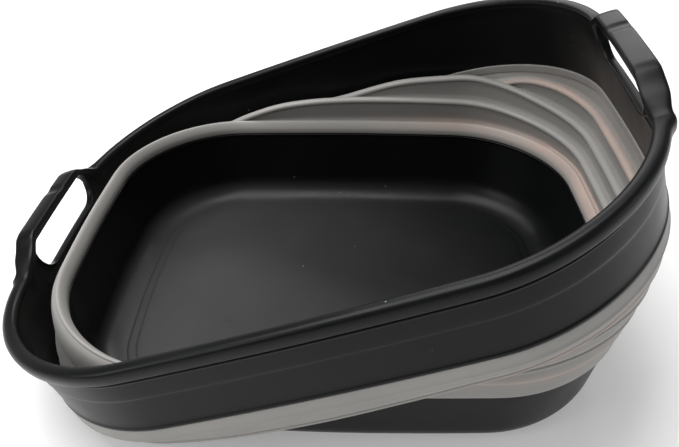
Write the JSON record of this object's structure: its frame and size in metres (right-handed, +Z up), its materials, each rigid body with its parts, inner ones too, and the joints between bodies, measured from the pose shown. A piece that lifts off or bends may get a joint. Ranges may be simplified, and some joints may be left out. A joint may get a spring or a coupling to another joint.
{
  "type": "collapsible pet bathtub",
  "caption": "Folding pet bathtub: a flat-bottomed tray, a stepped soft wall that folds at either end, and a stiff rim with two arch handles.",
  "frame": {"origin": "centre of the tray's flat underside, on the surface that the tub stands on", "axes": "+X runs along the tub towards the end that is up at rest, +Y across it, +Z up"},
  "size_m": [0.6013, 0.5, 0.3057],
  "materials": {
    "black_polypropylene": "satin moulded",
    "grey_elastomer": "matte moulded"
  },
  "bodies": {
    "tray": {"base_tray": "black_polypropylene", "tray_collar": "grey_elastomer"},
    "web_1": {"fold_web_1": "grey_elastomer"},
    "ring_1": {"fold_ring_1": "grey_elastomer"},
    "web_2": {"fold_web_2": "grey_elastomer"},
    "ring_2": {"fold_ring_2": "grey_elastomer"},
    "web_3": {"fold_web_3": "grey_elastomer"},
    "ring_3": {"fold_ring_3": "grey_elastomer"},
    "web_4": {"fold_web_4": "grey_elastomer"},
    "rim": {"rim_frame": "black_polypropylene", "rim_collar": "grey_elastomer"}
  },
  "joints": [
    {"name": "right_fold_1", "type": "hinge", "parent": "tray", "child": "web_1", "pos_m": [-0.28514, 0, 0.08586], "axis": [0, 1, 0], "range_deg": [0, 4.88]},
    {"name": "left_fold_1", "type": "hinge", "parent": "web_1", "child": "ring_1", "pos_m": [0.28514, 0, 0.11014], "axis": [0, 1, 0], "range_deg": [0, 4.88]},
    {"name": "right_fold_2", "type": "hinge", "parent": "ring_1", "child": "web_2", "pos_m": [-0.28308, 0, 0.06167], "axis": [0, 1, 0], "range_deg": [0, 4.88]},
    {"name": "left_fold_2", "type": "hinge", "parent": "web_2", "child": "ring_2", "pos_m": [0.28308, 0, 0.13433], "axis": [0, 1, 0], "range_deg": [0, 4.88]},
    {"name": "right_fold_3", "type": "hinge", "parent": "ring_2", "child": "web_3", "pos_m": [-0.27897, 0, 0.03775], "axis": [0, 1, 0], "range_deg": [0, 4.88]},
    {"name": "left_fold_3", "type": "hinge", "parent": "web_3", "child": "ring_3", "pos_m": [0.27897, 0, 0.15825], "axis": [0, 1, 0], "range_deg": [0, 4.88]},
    {"name": "right_fold_4", "type": "hinge", "parent": "ring_3", "child": "web_4", "pos_m": [-0.27284, 0, 0.01426], "axis": [0, 1, 0], "range_deg": [0, 4.88]},
    {"name": "left_fold_4", "type": "hinge", "parent": "web_4", "child": "rim", "pos_m": [0.27284, 0, 0.18174], "axis": [0, 1, 0], "range_deg": [0, 4.88]}
  ],
  "couplings": [
    {"joint": "right_fold_2", "follows": "right_fold_1", "ratio": 1},
    {"joint": "left_fold_2", "follows": "left_fold_1", "ratio": 1},
    {"joint": "right_fold_3", "follows": "right_fold_1", "ratio": 1},
    {"joint": "left_fold_3", "follows": "left_fold_1", "ratio": 1},
    {"joint": "right_fold_4", "follows": "right_fold_1", "ratio": 1},
    {"joint": "left_fold_4", "follows": "left_fold_1", "ratio": 1}
  ]
}
